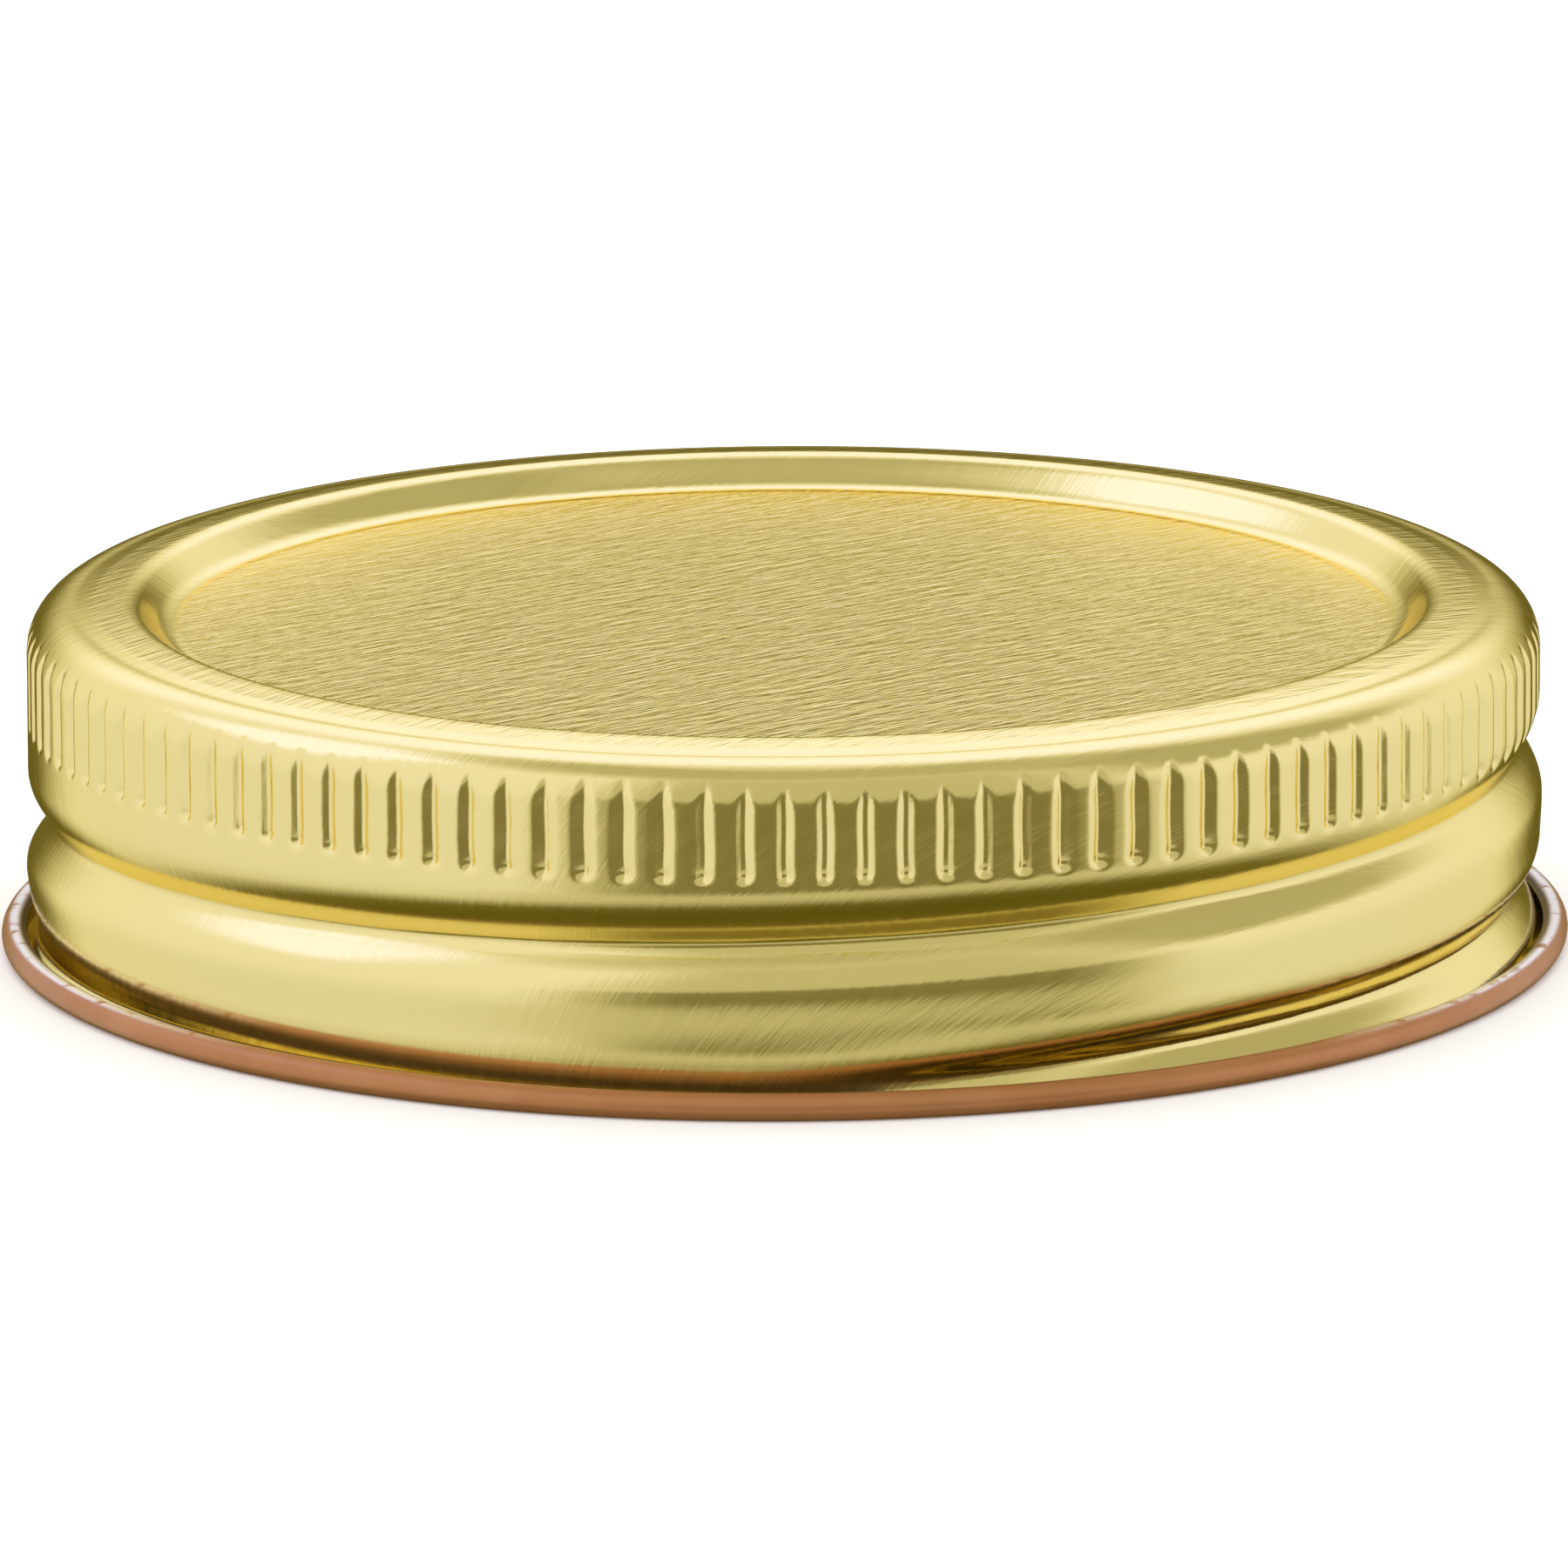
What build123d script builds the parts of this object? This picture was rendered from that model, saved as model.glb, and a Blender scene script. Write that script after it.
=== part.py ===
from build123d import *
import os
from math import cos, radians, sin

# A one-piece screw lid for a preserving jar: a shell drawn from one sheet of tinplate, and the sealing
# ring that is flowed into it. Millimetres, +Z up, origin at the middle of the base, on the floor.
# Angles round the lid count from +X towards +Y, the way a right-hand thread climbs.

# Sheet and overall size
sheet = 0.22
curl_radius = 36.0
lid_height = 16.3

# Top: a flat panel, a recess wall up to the crest, and a rim that falls away to the corner
panel_radius = 27.9
panel_height = 14.92
foot_bend = 1.2
recess_wall_angle = 47.0
crest_bend = 1.05
rim_slope = 7.0
corner_bend = 2.1
wall_radius = 34.7

# Grip: shallow upright grooves pressed into the wall
groove_count = 120
groove_depth = 0.35
groove_bend = 0.5
groove_foot = 10.6

# Thread: one rolled bead, right-hand, four turns to the inch
pitch = 6.35
bead_depth = 0.95
bead_bend = 1.45
bead_height_at_zero = 2.69
bead_start = -45.0
bead_end = 380.0
bead_fade = 40.0
bead_step = 8.5

# Curl at the mouth: the sheet turns outwards and back over towards the wall
entry_bend = 0.60
curl_bend = 0.40
curl_turn = 235.0

# Sealing ring, flowed into the channel under the rim
ring_face_height = 15.15
ring_outer_radius = 33.4


def bend_centres():
    """Centres, in section, of the bends at the recess foot, the crest and the corner."""
    up = radians(recess_wall_angle)
    down = radians(rim_slope)
    both = foot_bend + crest_bend
    straight = (lid_height - panel_height - both * (1 - cos(up))) / sin(up)
    foot = (panel_radius, panel_height + foot_bend)
    crest = (panel_radius + straight * cos(up) + both * sin(up), lid_height - crest_bend)
    growth = corner_bend - crest_bend
    run = (wall_radius - corner_bend - crest[0] + growth * sin(down)) / cos(down)
    corner = (wall_radius - corner_bend, crest[1] - run * sin(down) - growth * cos(down))
    return foot, crest, corner


def sheet_face(inset):
    """The region inside one face of the sheet, down to the curl: inset 0 is the outer face."""
    foot, crest, corner = bend_centres()
    foot_height = entry_bend + sheet
    with BuildSketch(Plane.XZ) as region:
        with BuildLine():
            panel = Line((0, panel_height - inset), (panel_radius, panel_height - inset))
            foot_arc = CenterArc(foot, foot_bend + inset, 270, recess_wall_angle)
            crest_arc = CenterArc(
                crest, crest_bend - inset, 90 + recess_wall_angle, -recess_wall_angle - rim_slope
            )
            Line(foot_arc @ 1, crest_arc @ 0)
            corner_arc = CenterArc(corner, corner_bend - inset, 90 - rim_slope, rim_slope - 90)
            Line(crest_arc @ 1, corner_arc @ 0)
            Polyline(corner_arc @ 1, (wall_radius - inset, foot_height), (0, foot_height), panel @ 0)
        make_face()
    return region.sketch


def thread_path():
    """The line that the bead's bending circle follows. It swings out of the wall at both ends."""
    points = []
    steps = round((bead_end - bead_start) / bead_step)
    for step in range(steps + 1):
        angle = bead_start + (bead_end - bead_start) * step / steps
        nearest_end = min(angle - bead_start, bead_end - angle)
        shown = min(nearest_end / bead_fade, 1.0)
        blend = shown * shown * (3 - 2 * shown)
        out = wall_radius + bead_bend + sheet / 2 - (bead_depth + sheet / 2) * blend
        rise = bead_height_at_zero + pitch * angle / 360
        points.append((out * cos(radians(angle)), out * sin(radians(angle)), rise))
    return Spline(*points)


def thread_bar(bar_radius):
    """A round bar along the thread, which presses the bead into the wall."""
    path = thread_path()
    with BuildPart() as bar:
        with BuildSketch(Plane(origin=path @ 0, z_dir=path % 0)):
            Circle(bar_radius)
        sweep(path=path)
    return bar.part


def grip_bars(bar_radius, foot):
    """Upright round bars, one for each groove of the grip, that run out through the corner."""
    with BuildPart() as bars:
        with BuildSketch(Plane.XY.offset(foot)):
            with PolarLocations(wall_radius - groove_depth + groove_bend, groove_count):
                Circle(bar_radius)
        extrude(amount=lid_height - foot)
    return bars.part


def pressed_body(inset):
    """All that lies inside one face of the finished sheet: inset 0 is the outer face."""
    with BuildPart() as body:
        add(sheet_face(inset))
        revolve(axis=Axis.Z)
        add(grip_bars(groove_bend + inset, groove_foot - inset), mode=Mode.SUBTRACT)
        add(thread_bar(bead_bend + inset), mode=Mode.SUBTRACT)
    return body.part


def curl_face():
    """The curled edge in section, from the wall's end, under and over, to the raw edge of the sheet."""
    entry = (wall_radius + entry_bend, entry_bend + sheet)
    turn = (curl_radius - sheet - curl_bend, curl_bend + sheet)
    with BuildSketch(Plane.XZ) as section:
        with BuildLine():
            inner_entry = CenterArc(entry, entry_bend, 180, 90)
            inner_turn = CenterArc(turn, curl_bend, 270, curl_turn)
            Line(inner_entry @ 1, inner_turn @ 0)
            outer_entry = CenterArc(entry, entry_bend + sheet, 180, 90)
            outer_turn = CenterArc(turn, curl_bend + sheet, 270, curl_turn)
            Line(outer_entry @ 1, outer_turn @ 0)
            Line(inner_entry @ 0, outer_entry @ 0)
            Line(inner_turn @ 1, outer_turn @ 1)
        make_face()
    return section.sketch


with BuildPart() as lid_shell:
    add(pressed_body(0))
    add(pressed_body(sheet), clean=False, mode=Mode.SUBTRACT)
    add(curl_face())
    revolve(axis=Axis.Z, clean=False)
lid_shell.part.label = "lid_shell"

with BuildPart() as sealing_ring:
    add(sheet_face(sheet))
    revolve(axis=Axis.Z)
    with BuildSketch(Plane.XY.offset(ring_face_height)):
        Circle(ring_outer_radius)
    extrude(amount=lid_height - ring_face_height, mode=Mode.INTERSECT)
sealing_ring.part.label = "sealing_ring"

os.makedirs("parts", exist_ok=True)
for piece in (lid_shell, sealing_ring):
    export_step(piece.part, f"parts/{piece.part.label}.step")
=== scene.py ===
import bpy
from math import atan2, cos, degrees, dist, exp, hypot, pi, radians, sin, sqrt
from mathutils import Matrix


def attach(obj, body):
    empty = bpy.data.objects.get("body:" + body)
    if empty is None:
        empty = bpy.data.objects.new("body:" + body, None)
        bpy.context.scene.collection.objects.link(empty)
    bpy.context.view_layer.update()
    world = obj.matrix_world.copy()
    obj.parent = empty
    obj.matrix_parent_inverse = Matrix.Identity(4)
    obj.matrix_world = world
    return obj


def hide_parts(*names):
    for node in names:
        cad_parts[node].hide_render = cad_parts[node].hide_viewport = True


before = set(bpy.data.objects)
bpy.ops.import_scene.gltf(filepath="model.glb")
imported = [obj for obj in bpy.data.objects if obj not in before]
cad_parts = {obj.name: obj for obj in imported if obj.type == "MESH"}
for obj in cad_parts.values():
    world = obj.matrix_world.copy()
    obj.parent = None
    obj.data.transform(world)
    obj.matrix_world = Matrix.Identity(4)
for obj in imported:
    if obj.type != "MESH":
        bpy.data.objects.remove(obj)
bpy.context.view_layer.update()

# Lid shell: one disc of brushed tinplate, drawn into a shallow cup. Its panel is pressed down, its wall is
# knurled and rolled with a screw thread, and its cut edge is curled outwards so that nothing sharp shows.
# It is lacquered clear gold outside and tan inside, and the curl shows a little of the inside.

mm = 0.001
sheet = 0.22
panel_radius, panel_height, panel_crown = 27.9, 14.92, 0.10
foot_bend, crest_bend, corner_bend = 1.2, 1.05, 2.1
recess_wall_angle, rim_slope = 47, 7
lid_height, wall_radius = 16.3, 34.7
entry_bend, curl_bend, curl_turn, curl_radius = 0.60, 0.40, 235, 36.0
curl_middle = (curl_radius - sheet - curl_bend, curl_bend + sheet)
grip_top_angle, grip_bottom = 55, 10.0
grip_rows = (13.0, 12.2, 11.6, 11.3, 11.1, 10.95, 10.8, 10.65, 10.5, 10.35, 10.2, grip_bottom)
skirt_row = 0.25


def arc(centre, radius, start, end, count):
    """Points along an arc in section, both ends included. Angles are in degrees."""
    angles = [radians(start + (end - start) * i / (count - 1)) for i in range(count)]
    return [(centre[0] + radius * cos(a), centre[1] + radius * sin(a)) for a in angles]


def run(start, end, count):
    """Points along a straight stretch in section, without its two ends."""
    shares = [(i + 1) / (count + 1) for i in range(count)]
    return [tuple(a + (b - a) * s for a, b in zip(start, end)) for s in shares]


def sheet_outline(inset):
    """One face of the sheet in section, from the pole to the curl, as three lists: top, grip and skirt."""
    up, down = radians(recess_wall_angle), radians(rim_slope)
    both = foot_bend + crest_bend
    straight = (lid_height - panel_height - both * (1 - cos(up))) / sin(up)
    foot = (panel_radius, panel_height + foot_bend)
    crest = (panel_radius + straight * cos(up) + both * sin(up), lid_height - crest_bend)
    growth = corner_bend - crest_bend
    fall = (wall_radius - corner_bend - crest[0] + growth * sin(down)) / cos(down)
    corner = (wall_radius - corner_bend, crest[1] - fall * sin(down) - growth * cos(down))
    foot_arc = arc(foot, foot_bend + inset, 270, 270 + recess_wall_angle, 8)
    crest_arc = arc(crest, crest_bend - inset, 90 + recess_wall_angle, 90 - rim_slope, 10)
    corner_arc = arc(corner, corner_bend - inset, 90 - rim_slope, grip_top_angle + 3, 6)
    panel = [(panel_radius * share, panel_height - inset) for share in (0, 0.2, 0.4, 0.6, 0.8, 0.93)]
    top = panel + foot_arc + run(foot_arc[-1], crest_arc[0], 1)
    top += crest_arc + run(crest_arc[-1], corner_arc[0], 14) + corner_arc
    grip = arc(corner, corner_bend - inset, grip_top_angle - 3, 0, 9)
    grip += [(wall_radius - inset, z) for z in grip_rows]
    skirt = [(wall_radius - inset, grip_bottom - skirt_row * (i + 1)) for i in range(36)]
    return top, grip, skirt


def curl_outline(inset):
    """The curled edge in section: out of the wall, under, and back over to the raw edge."""
    entry = (wall_radius + entry_bend, entry_bend + sheet)
    foot = arc(entry, entry_bend + inset, 180, 270, 6)
    return foot + arc(curl_middle, curl_bend + inset, 270, 270 + curl_turn, 14)


def drawn(name, outline, steps):
    """A lathe-turned skin: one point, extruded along the outline and spun round the lid's axis."""
    bpy.ops.object.select_all(action="DESELECT")
    bpy.ops.mesh.primitive_plane_add(size=mm)
    skin = bpy.context.object
    skin.name = skin.data.name = name
    bpy.ops.object.mode_set(mode="EDIT")
    bpy.ops.mesh.select_mode(type="VERT")
    bpy.ops.mesh.merge(type="CENTER")
    places = [(0, 0, 0)] + [(r * mm, 0, z * mm) for r, z in outline]
    step = [b - a for a, b in zip(places[0], places[1])]
    bpy.ops.transform.translate(value=step)
    for before, after in zip(places[1:], places[2:]):
        step = [b - a for a, b in zip(before, after)]
        bpy.ops.mesh.extrude_region_move(TRANSFORM_OT_translate={"value": step})
    bpy.ops.mesh.select_all(action="SELECT")
    bpy.ops.mesh.spin(steps=steps, angle=2 * pi, center=(0, 0, 0), axis=(0, 0, 1))
    bpy.ops.mesh.select_all(action="SELECT")
    bpy.ops.mesh.remove_doubles(threshold=0.002 * mm)
    bpy.ops.object.mode_set(mode="OBJECT")
    return skin


def joined(name, skins):
    """Several skins as one piece."""
    bpy.ops.object.select_all(action="DESELECT")
    for skin in skins:
        skin.select_set(True)
    bpy.context.view_layer.objects.active = skins[0]
    bpy.ops.object.join()
    skins[0].name = skins[0].data.name = name
    return skins[0]


row_reach = 0.005 * mm


def bridged(piece, *rows):
    """Closes the gap between two rows of the piece, each given as (radius, height) in section."""
    rows = [(r * mm, z * mm) for r, z in rows]
    for chosen in (piece.data.vertices, piece.data.edges, piece.data.polygons):
        chosen.foreach_set("select", [False] * len(chosen))
    for v in piece.data.vertices:
        place = (hypot(v.co.x, v.co.y), v.co.z)
        v.select = any(dist(place, row) < row_reach for row in rows)
    bpy.ops.object.mode_set(mode="EDIT")
    bpy.ops.mesh.select_mode(type="VERT")
    bpy.ops.mesh.select_mode(type="EDGE")
    bpy.ops.mesh.bridge_edge_loops()
    bpy.ops.object.mode_set(mode="OBJECT")


gold_top, gold_grip, gold_skirt = sheet_outline(0)
tan_top, tan_grip, tan_skirt = sheet_outline(sheet)
gold_skirt += curl_outline(0)
tan_skirt += curl_outline(sheet)
lid = joined("drawn_lid_shell", [
    drawn("gold_top", gold_top, 288),
    drawn("gold_grip", gold_grip, 1440),
    drawn("gold_skirt", gold_skirt, 360),
    drawn("tan_top", tan_top, 288),
    drawn("tan_grip", tan_grip, 480),
    drawn("tan_skirt", tan_skirt, 240),
])
for top, grip, skirt in ((gold_top, gold_grip, gold_skirt), (tan_top, tan_grip, tan_skirt)):
    bridged(lid, top[-1], grip[0])
    bridged(lid, grip[-1], skirt[0])
bridged(lid, gold_skirt[-1], tan_skirt[-1])
bpy.ops.object.mode_set(mode="EDIT")
bpy.ops.mesh.select_all(action="SELECT")
bpy.ops.mesh.normals_make_consistent(inside=False)
bpy.ops.object.mode_set(mode="OBJECT")

curl_start, curl_top = 34.86, 1.3
corner_start = 14
edge_ring = [(r * mm, z * mm) for r, z in (gold_skirt[-1], tan_skirt[-1])]
for face in lid.data.polygons:
    centre_radius = hypot(face.center.x, face.center.y) / mm
    corners = [lid.data.vertices[i].co for i in face.vertices]
    to_edge = [min(dist((hypot(c.x, c.y), c.z), row) for row in edge_ring) for c in corners]
    on_side = face.center.z < corner_start * mm
    outside = face.normal.dot(face.center) > 0 if on_side else face.normal.z > 0
    if max(to_edge) < 2 * row_reach:
        face.material_index = 2
    elif centre_radius < curl_start or face.center.z > curl_top * mm:
        face.material_index = 0 if outside else 1
    else:
        to_turn = (centre_radius - curl_middle[0], face.center.z / mm - curl_middle[1])
        outward = (face.normal.x * face.center.x + face.normal.y * face.center.y) / (centre_radius * mm)
        face.material_index = 1 if outward * to_turn[0] + face.normal.z * to_turn[1] > 0 else 0

groove_pitch, groove_depth, groove_width = 3.0, 0.26, 0.29
groove_foot, groove_head, groove_run_out = 10.75, 14.9, 0.4
pit_depth, pit_width, pit_length = 0.08, 0.22, 0.18
thread_pitch, thread_start, thread_end, thread_fade = 6.35, -95.0, 398.0, 45.0
thread_height, thread_depth, thread_round = 2.84, 1.18, 0.30
thread_upper_flank, thread_lower_flank = 2.1, 1.75
widening, widening_start, widening_span = 0.35, 190, 60
swell, swell_below, swell_width = 0.10, 2.3, 1.2
taper, taper_end, taper_span, taper_reach = 0.09, 300, 120, 4.0
neck_press, neck_top, neck_run = 0.2, 2.8, 1.5
foot_start, foot_run = 0.3, 0.6
burnish_depth, burnish_radius, burnish_width = 0.035, 32.45, 0.28


def eased(share):
    """0 below 0, 1 above 1, and a smooth rise between."""
    share = min(max(share, 0.0), 1.0)
    return share * share * (3 - 2 * share)


def thread_press(turn, height):
    """How far in the thread roller presses, and how far the metal between turns swells, in mm."""
    press = 0.0
    for angle in (turn - 360, turn, turn + 360):
        shown = eased((angle - thread_start) / thread_fade) * eased((thread_end - angle) / thread_fade)
        above = height - thread_height - thread_pitch * angle / 360
        upper_flank = thread_upper_flank + widening * eased((angle - widening_start) / widening_span)
        reach = upper_flank if above > 0 else thread_lower_flank
        away = sqrt(above * above + thread_round ** 2) - thread_round
        press += thread_depth * shown * max(0.0, 1 - away / reach) ** 2
        press -= swell * shown * exp(-((above + swell_below) / swell_width) ** 2)
        below_swell = min(max(-above - swell_below, 0.0), taper_reach)
        press += taper * shown * eased((taper_end - angle) / taper_span) * below_swell
    return press


def grip_press(turn, height, radius_below_wall):
    """How far in the knurling roller presses at this turn and height, in mm."""
    groove = round(turn / groove_pitch)
    aside = radians(turn - groove * groove_pitch) * wall_radius
    aside += 0.03 * sin(2.3 * height + 1.7 * groove)
    across = exp(-(aside / groove_width) ** 2)
    deep = groove_depth * across * eased((height - groove_foot) / groove_run_out + 0.5)
    pit = exp(-(aside / pit_width) ** 2)
    for end in (groove_foot + 0.1, groove_head):
        deep += pit_depth * pit * exp(-((height - end) / pit_length) ** 2)
    over = deep - radius_below_wall
    soft = 0.05 * min(1.0, radius_below_wall / 0.1)
    return (over + sqrt(over * over + soft * soft)) / 2


def panel_lift(radius):
    """The panel's slight crown and the burnished line round the rim, in mm."""
    crown = panel_crown * max(0.0, 1 - (radius / panel_radius) ** 2)
    return crown - burnish_depth * exp(-((radius - burnish_radius) / burnish_width) ** 2)


corner_height = gold_grip[8][1]
inside_wall, outside_wall, rim_height = 33.0, 34.8, 15.9
for v in lid.data.vertices:
    radius, height = hypot(v.co.x, v.co.y) / mm, v.co.z / mm
    turn = degrees(atan2(v.co.y, v.co.x))
    if inside_wall < radius and height < rim_height and (height > curl_top or radius < outside_wall):
        below_wall = max(0.0, wall_radius - radius) if height > corner_height else 0.0
        inward = grip_press(turn, height, below_wall) if height > grip_bottom else 0.0
        neck = neck_press * eased((neck_top - height) / neck_run)
        inward += (thread_press(turn, height) + neck) * eased((height - foot_start) / foot_run)
        v.co.x *= 1 - inward / radius
        v.co.y *= 1 - inward / radius
    elif height > corner_start:
        v.co.z += panel_lift(radius) * mm


def colour(code):
    """The linear colour of an sRGB hex code."""
    parts = [int(code[i:i + 2], 16) / 255 for i in (1, 3, 5)]
    return [p / 12.92 if p <= 0.04045 else ((p + 0.055) / 1.055) ** 2.4 for p in parts] + [1]


def node(tree, kind, settings=None, **links):
    """Adds a node, sets its properties, and fills its inputs with values or with other nodes' outputs."""
    made = tree.nodes.new(kind)
    for name, value in (settings or {}).items():
        setattr(made, name, value)
    for name, value in links.items():
        socket = made.inputs[int(name[1:])] if name[1:].isdigit() else made.inputs[name.replace("_", " ")]
        if isinstance(value, bpy.types.NodeSocket):
            tree.links.new(value, socket)
        else:
            socket.default_value = value
    return made


def finish(name):
    """An empty material, its node tree and its output node."""
    made = bpy.data.materials.new(name)
    made.use_nodes = True
    made.node_tree.nodes.clear()
    return made, made.node_tree, made.node_tree.nodes.new("ShaderNodeOutputMaterial")


blank_span = 100.0
grain_direction = 40
turn_over, rim_fall = 32.0, 15.9


def flat_blank(piece):
    """A UV map with each point's place on the flat disc before drawing, so the grain follows the metal."""
    layer = piece.data.uv_layers.new(name="blank")
    for loop in piece.data.loops:
        place = piece.data.vertices[loop.vertex_index].co / mm
        radius = hypot(place.x, place.y)
        out = radius
        if radius > turn_over:
            out = turn_over + (radius - turn_over) * 0.6 + max(0.0, rim_fall - place.z)
        stretch = out / radius / blank_span if radius else 0
        layer.data[loop.index].uv = (0.5 + place.x * stretch, 0.5 + place.y * stretch)


flat_blank(lid)

# Brushed tinplate under clear gold lacquer: belt-brushed before stamping, so straight scratches a few
# millimetres long break up its reflections. The tools burnish them nearly flat on the bends and the wall.
gold, tree, out = finish("brushed_tinplate_gold_lacquer")
blank = node(tree, "ShaderNodeUVMap", {"uv_map": "blank"}).outputs[0]
turned = node(tree, "ShaderNodeMapping", i0=blank, Rotation=(0, 0, radians(-grain_direction))).outputs[0]


def scratches(length, width, detail):
    """Noise drawn out along the grain, of streaks this long and wide in millimetres."""
    scale = (blank_span / length, blank_span / width, 1)
    drawn_out = node(tree, "ShaderNodeMapping", i0=turned, Scale=scale).outputs[0]
    return node(tree, "ShaderNodeTexNoise", i0=drawn_out, Scale=1.0, Detail=detail).outputs[0]


place = node(tree, "ShaderNodeTexCoord").outputs["Object"]
axes = node(tree, "ShaderNodeSeparateXYZ", i0=place).outputs
across = node(tree, "ShaderNodeCombineXYZ", i0=axes[0], i1=axes[1]).outputs[0]
radius = node(tree, "ShaderNodeVectorMath", {"operation": "LENGTH"}, i0=across).outputs["Value"]
share = node(tree, "ShaderNodeMapRange", i0=radius, i1=26 * mm, i2=36 * mm).outputs[0]
kept = node(tree, "ShaderNodeValToRGB", i0=share)
ramp = kept.color_ramp
for spot, strength in ((0.16, 1.0), (0.20, 0.14), (0.40, 0.14), (0.46, 0.5), (0.56, 0.5), (0.60, 0.10)):
    stop = ramp.elements.new(spot)
    stop.color = (strength, strength, strength, 1)
ramp.elements[0].color = (1, 1, 1, 1)
ramp.elements[-1].color = (0.09, 0.09, 0.09, 1)

streaks = scratches(2.4, 0.5, 3.0)
hairs = scratches(1.8, 0.16, 1.0)
mixed = node(tree, "ShaderNodeMath", {"operation": "MULTIPLY_ADD"}, i0=hairs, i1=0.5, i2=streaks).outputs[0]
relief = node(tree, "ShaderNodeMath", {"operation": "MULTIPLY"}, i0=mixed, i1=kept.outputs[0]).outputs[0]
bump = node(tree, "ShaderNodeBump", Strength=1.0, Distance=0.09 * mm, Height=relief).outputs[0]
dull = node(tree, "ShaderNodeMapRange", i0=streaks, i1=0.3, i2=0.7, i3=0.11, i4=0.18).outputs[0]
tone = node(tree, "ShaderNodeMapRange", i0=relief, i1=0.5, i2=0.9).outputs[0]
tint = node(tree, "ShaderNodeMix", {"data_type": "RGBA"}, i0=tone).outputs[2]
tint.node.inputs[6].default_value = colour("#f3e39f")
tint.node.inputs[7].default_value = colour("#e9d88e")
shader = node(tree, "ShaderNodeBsdfPrincipled", Metallic=1.0, Base_Color=tint, Roughness=dull, Normal=bump)
shader.inputs["Specular Tint"].default_value = colour("#fff7d0")
tree.links.new(shader.outputs[0], out.inputs[0])

# Tan food lacquer on the inside of the sheet, roller-coated: a smooth, slightly cloudy satin brown.
# On the curl's crest at left and right, a broken near-white line: worn-through tin and a painted highlight.
tan, tree, out = finish("tan_food_lacquer")
place = node(tree, "ShaderNodeTexCoord").outputs["Object"]
cloud = node(tree, "ShaderNodeTexNoise", i0=place, Scale=1 / (3.5 * mm), Detail=2.0).outputs[0]
coat = node(tree, "ShaderNodeMix", {"data_type": "RGBA"}, i0=cloud).outputs[2]
coat.node.inputs[6].default_value = colour("#a56c3e")
coat.node.inputs[7].default_value = colour("#b98256")
axes = node(tree, "ShaderNodeSeparateXYZ", i0=place).outputs
across = node(tree, "ShaderNodeCombineXYZ", i0=axes[0], i1=axes[1]).outputs[0]
radius = node(tree, "ShaderNodeVectorMath", {"operation": "LENGTH"}, i0=across).outputs["Value"]
on_curl = node(tree, "ShaderNodeMapRange", i0=radius, i1=34.8 * mm, i2=34.9 * mm).outputs[0]
at_crest = node(tree, "ShaderNodeMapRange", i0=axes[2], i1=1.14 * mm, i2=1.22 * mm).outputs[0]
sideways = node(tree, "ShaderNodeMath", {"operation": "ABSOLUTE"}, i0=axes[0]).outputs[0]
at_side = node(tree, "ShaderNodeMapRange", i0=sideways, i1=24 * mm, i2=32 * mm).outputs[0]
patchy = node(tree, "ShaderNodeTexNoise", i0=place, Scale=1 / (1.2 * mm), Detail=3.0).outputs[0]
broken = node(tree, "ShaderNodeMapRange", i0=patchy, i1=0.34, i2=0.46).outputs[0]
# Near-white painted on the crest at left and right only: partly lacquer worn to bright tin, partly a
# painted highlight.
wear_and_highlight = on_curl
for factor in (at_crest, at_side, broken):
    wear_and_highlight = node(tree, "ShaderNodeMath", {"operation": "MULTIPLY"}, i0=wear_and_highlight, i1=factor).outputs[0]
skin = node(tree, "ShaderNodeMix", {"data_type": "RGBA"}, i0=wear_and_highlight, i6=coat).outputs[2]
skin.node.inputs[7].default_value = colour("#efe9e4")
# Painted shade: the curl's inner side, in the gap facing the wall, is painted dark brown.
inner_side = node(tree, "ShaderNodeMapRange", i0=radius, i1=35.02 * mm, i2=35.3 * mm, i3=1, i4=0).outputs[0]
curl_gap_shade = node(tree, "ShaderNodeMath", {"operation": "MULTIPLY"}, i0=on_curl, i1=inner_side).outputs[0]
skin = node(tree, "ShaderNodeMix", {"data_type": "RGBA"}, i0=curl_gap_shade, i6=skin).outputs[2]
skin.node.inputs[7].default_value = colour("#4d3814")
satin = node(tree, "ShaderNodeMapRange", i0=patchy, i1=0.3, i2=0.7, i3=0.30, i4=0.38).outputs[0]
shader = node(tree, "ShaderNodeBsdfPrincipled", Metallic=0.55, Base_Color=skin, Roughness=satin)
tree.links.new(shader.outputs[0], out.inputs[0])

# The sheet's cut edge: sheared steel between its two films of tin, bright, with fine upright shear marks.
bare, tree, out = finish("sheared_tinplate_edge")
place = node(tree, "ShaderNodeTexCoord").outputs["Object"]
marks = node(tree, "ShaderNodeTexNoise", i0=place, Scale=1 / (0.3 * mm), Detail=2.0).outputs[0]
steel = node(tree, "ShaderNodeMix", {"data_type": "RGBA"}, i0=marks).outputs[2]
steel.node.inputs[6].default_value = colour("#a8a29a")
steel.node.inputs[7].default_value = colour("#d9d4cc")
shader = node(tree, "ShaderNodeBsdfPrincipled", Metallic=1.0, Base_Color=steel, Roughness=0.32)
tree.links.new(shader.outputs[0], out.inputs[0])

for coating in (gold, tan, bare):
    lid.data.materials.append(coating)
bpy.ops.object.select_all(action="DESELECT")
lid.select_set(True)
bpy.context.view_layer.objects.active = lid
bpy.ops.object.shade_smooth_by_angle(angle=radians(60))
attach(lid, "root")
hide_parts("lid_shell")

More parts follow.
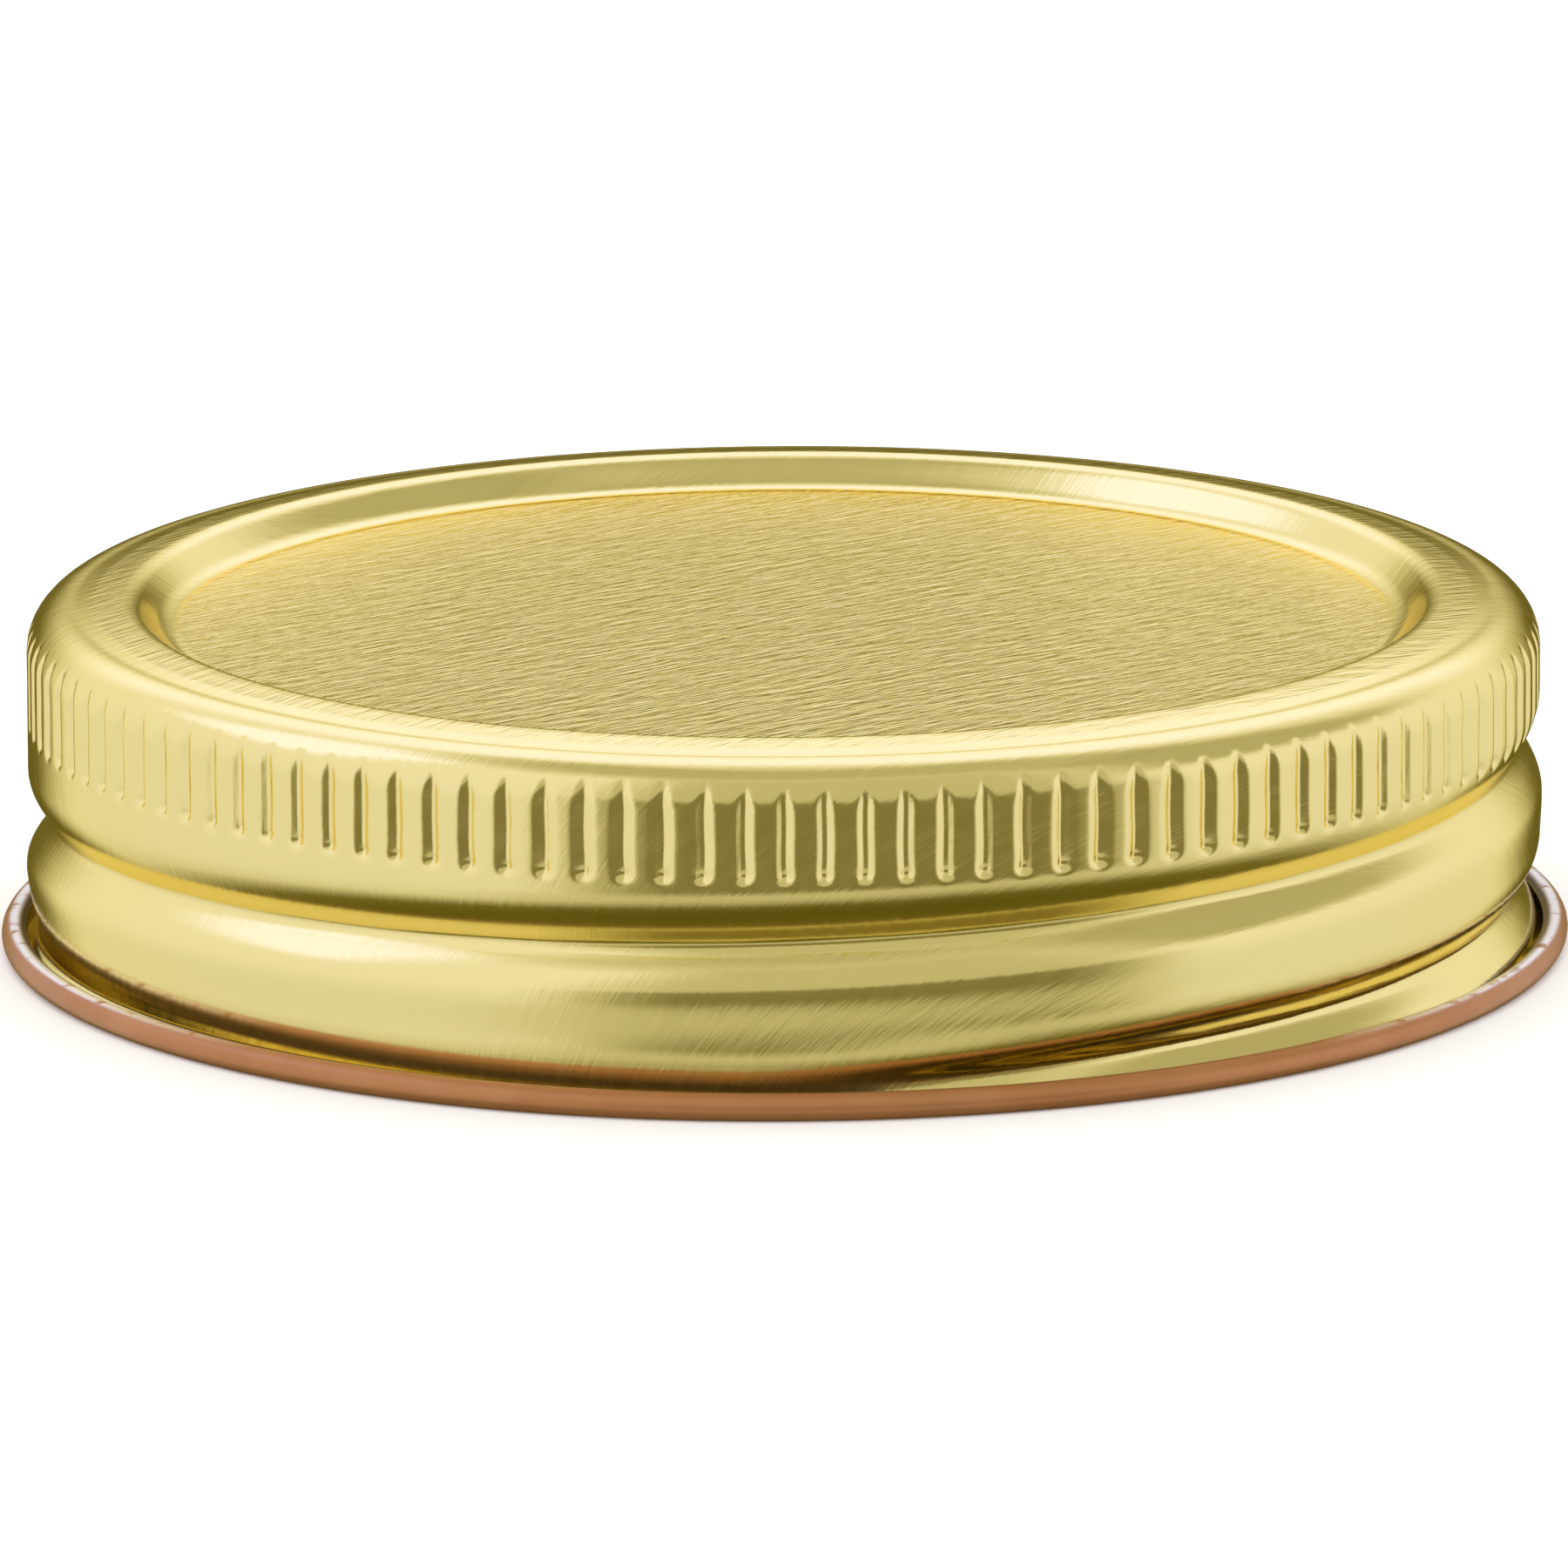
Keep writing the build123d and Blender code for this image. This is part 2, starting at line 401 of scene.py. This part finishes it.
# Sealing ring: plastisol flowed into the channel under the rim while the lid spins, then cured. It wets the
# lacquer at both edges, so its face sags a little between them, and it has a soft matt skin.
ring_face_height, ring_outer_radius = 15.15, 33.4
film, least_step = 0.012, 0.02
face_lift, face_sag = 0.005, 0.06
channel = []
for r, z in tan_top:
    if z > ring_face_height + least_step and panel_radius < r < ring_outer_radius - least_step:
        beside_recess = z < 16 and r < 30
        channel.append((r + 0.01 if beside_recess else r, z - film))
inner_lip = (channel[0][0] - 0.03, ring_face_height + 0.03)
outer_lip = (ring_outer_radius, ring_face_height + 0.06)
lip_span = outer_lip[0] - inner_lip[0]
face_points = []
for i in range(1, 12):
    share = i / 12
    climb = face_sag * (2 * share - 1) ** 4
    face_points.append((outer_lip[0] - lip_span * share, ring_face_height + face_lift + climb))
outer_shoulder = (ring_outer_radius, channel[-1][1] - 0.05)
ring_outline = [inner_lip] + channel + [outer_shoulder, outer_lip] + face_points
ring_outline.append(ring_outline[0])
ring = drawn("flowed_in_sealing_ring", ring_outline, 192)
bpy.ops.object.mode_set(mode="EDIT")
bpy.ops.mesh.select_all(action="SELECT")
bpy.ops.mesh.normals_make_consistent(inside=False)
bpy.ops.object.mode_set(mode="OBJECT")

# Cured plastisol: a soft vinyl the colour of putty, matt, with a slight orange peel and faint clouding.
vinyl, tree, out = finish("cured_plastisol")
place = node(tree, "ShaderNodeTexCoord").outputs["Object"]
cloud = node(tree, "ShaderNodeTexNoise", i0=place, Scale=1 / (4 * mm), Detail=2.0).outputs[0]
putty = node(tree, "ShaderNodeMix", {"data_type": "RGBA"}, i0=cloud).outputs[2]
putty.node.inputs[6].default_value = colour("#d2c6ad")
putty.node.inputs[7].default_value = colour("#e0d6c0")
peel = node(tree, "ShaderNodeTexNoise", i0=place, Scale=1 / (0.35 * mm), Detail=1.0).outputs[0]
bump = node(tree, "ShaderNodeBump", Strength=0.4, Distance=0.02 * mm, Height=peel).outputs[0]
matt = node(tree, "ShaderNodeMapRange", i0=cloud, i1=0.3, i2=0.7, i3=0.52, i4=0.62).outputs[0]
shader = node(tree, "ShaderNodeBsdfPrincipled", Base_Color=putty, Roughness=matt, Normal=bump)
tree.links.new(shader.outputs[0], out.inputs[0])
ring.data.materials.append(vinyl)
bpy.ops.object.shade_smooth_by_angle(angle=radians(50))
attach(ring, "root")
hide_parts("sealing_ring")

# Table: a plain sheet of matt white paper, which runs far enough back to fill the view. The metal doesn't
# mirror it, since to the metal the whole room is the studio's card and gaps.
bpy.ops.object.select_all(action="DESELECT")
bpy.ops.mesh.primitive_plane_add(size=6)
table = bpy.context.object
table.name = table.data.name = "table"
bpy.ops.object.mode_set(mode="EDIT")
bpy.ops.mesh.subdivide(number_cuts=3)
bpy.ops.object.mode_set(mode="OBJECT")
table.visible_glossy = False
paper, tree, out = finish("matt_white_paper")
shader = node(tree, "ShaderNodeBsdfPrincipled", Base_Color=colour("#fafafa"), Roughness=0.9)
tree.links.new(shader.outputs[0], out.inputs[0])
table.data.materials.append(paper)

# Studio: a white room to the table, and to the metal a tent of white card with gaps. The gaps are a slot at
# the lens, the table's edge low in front and the dark far wall. They give the bends their dark lines.
# A card on the left adds a little light, and the light turns warmer as it dims.
world = bpy.data.worlds.new("white_tent")
bpy.context.scene.world = world
world.use_nodes = True
tree = world.node_tree
tree.nodes.clear()
aim = node(tree, "ShaderNodeTexCoord").outputs["Generated"]
axes = node(tree, "ShaderNodeSeparateXYZ", i0=aim).outputs


def worked(operation, *values):
    """One step of arithmetic."""
    links = {f"i{i}": value for i, value in enumerate(values)}
    return node(tree, "ShaderNodeMath", {"operation": operation}, **links).outputs[0]


def between(value, low, high, soft):
    """1 between two angles and 0 outside them, with soft sides this many degrees wide."""
    ease = {"interpolation_type": "SMOOTHSTEP"}
    rise = node(tree, "ShaderNodeMapRange", ease, i0=value, i1=low - soft / 2, i2=low + soft / 2).outputs[0]
    edge = {"i1": high - soft / 2, "i2": high + soft / 2, "i3": 1, "i4": 0}
    fall = node(tree, "ShaderNodeMapRange", ease, i0=value, **edge).outputs[0]
    return worked("MULTIPLY", rise, fall)


brightest = 1.25


def card(levels):
    """Brightness by elevation, as (degrees, brightness) pairs. The first two are the ramp's two ends."""
    share = node(tree, "ShaderNodeMapRange", i0=elevation, i1=-90, i2=90).outputs[0]
    made = node(tree, "ShaderNodeValToRGB", i0=share)
    stops = made.color_ramp.elements
    stops[0].color = stops[-1].color = (0, 0, 0, 1)
    for spot, (angle, level) in enumerate(levels):
        stop = stops[spot] if spot < 2 else stops.new((angle + 90) / 180)
        if spot < 2:
            stop.position = (angle + 90) / 180
        stop.color = (level / brightest, level / brightest, level / brightest, 1)
    return worked("MULTIPLY", made.outputs[0], brightest)


elevation = worked("DEGREES", worked("ARCSINE", axes[2]))
azimuth = worked("DEGREES", worked("ARCTAN2", axes[0], worked("MULTIPLY", axes[1], -1)))
front = card((
    (-90, 0.08), (90, 0.5),
    (-56, 0.08), (-46, 0.16), (-33, 0.74), (-24, 0.84),
    (-6, 0.92), (8, 0.95), (58, 0.97), (72, 0.52),
))
back = card((
    (-90, 0.08), (90, 0.5),
    (-15, 0.08), (2, 0.10), (8, 0.30), (11.5, 0.48), (14.5, 0.68),
    (19, 0.95), (26, 1.2), (58, 1.2), (74, 0.8),
))
behind = between(worked("ABSOLUTE", azimuth), 150, 200, 26)
in_front = worked("SUBTRACT", 1, behind)
light = worked("ADD", worked("MULTIPLY", front, in_front), worked("MULTIPLY", back, behind))


def patch(elevations, azimuths):
    """A patch of the studio, each way as its two edges and how soft they are, in degrees."""
    return worked("MULTIPLY", between(elevation, *elevations), between(azimuth, *azimuths))


lens_slot = patch((-20, 12, 10), (-29, 54, 28))
above_lens = patch((12, 64, 10), (-29, 54, 28))
below_lens = patch((-70, -20, 7), (-40, 60, 40))
right_gap = patch((30, 66, 14), (60, 130, 30))
for gap, held_back in ((lens_slot, 0.76), (above_lens, 0.4), (below_lens, 0.26), (right_gap, 0.5)):
    passed = worked("SUBTRACT", 1, worked("MULTIPLY", gap, held_back))
    light = worked("MULTIPLY", light, passed)
left_card = patch((34, 62, 10), (-128, -84, 14))
light = worked("ADD", light, worked("MULTIPLY", left_card, 0.28))
warmth = node(tree, "ShaderNodeValToRGB", i0=worked("DIVIDE", light, brightest))
shades = warmth.color_ramp.elements
shades[0].color = (0.045, 0.038, 0.001, 1)
shades[-1].color = (0.60, 0.62, 0.95, 1)
for level, shade in (
    (0.15, (0.085, 0.072, 0.014, 1)),
    (0.65, (0.33, 0.32, 0.245, 1)),
    (0.97, (0.485, 0.48, 0.50, 1)),
):
    shades.new(level / brightest).color = shade
seen_in_metal = node(tree, "ShaderNodeBackground", Color=warmth.outputs[0], Strength=2.0).outputs[0]
white_room = node(tree, "ShaderNodeBackground", Color=(1, 1, 1, 1), Strength=1.4).outputs[0]
glossy = node(tree, "ShaderNodeLightPath").outputs["Is Glossy Ray"]
lit = node(tree, "ShaderNodeMixShader", i0=glossy, i1=white_room, i2=seen_in_metal).outputs[0]
tree.links.new(lit, node(tree, "ShaderNodeOutputWorld").inputs[0])
bpy.context.scene.view_settings.view_transform = "Standard"

# Camera: a long lens, a little over a metre away, looking down on the lid by 13.4 degrees. It is rolled by
# less than half a degree, and it aims a little below half the lid's height.
camera_distance, camera_elevation, camera_roll = 1.080, radians(13.39), radians(-0.30)
camera_back = camera_distance * cos(camera_elevation)
camera_height = camera_distance * sin(camera_elevation)
bpy.ops.object.camera_add(location=(0, -camera_back, camera_height))
camera = bpy.context.object
camera.data.lens = 539
camera.data.sensor_width = 36
aim_height = 0.0072
tilt = atan2(camera_back, camera_height - aim_height)
camera.rotation_euler = (tilt, 0, 0)
camera.rotation_euler.rotate_axis("Z", camera_roll)
camera.data.clip_start = 0.05
bpy.context.scene.camera = camera
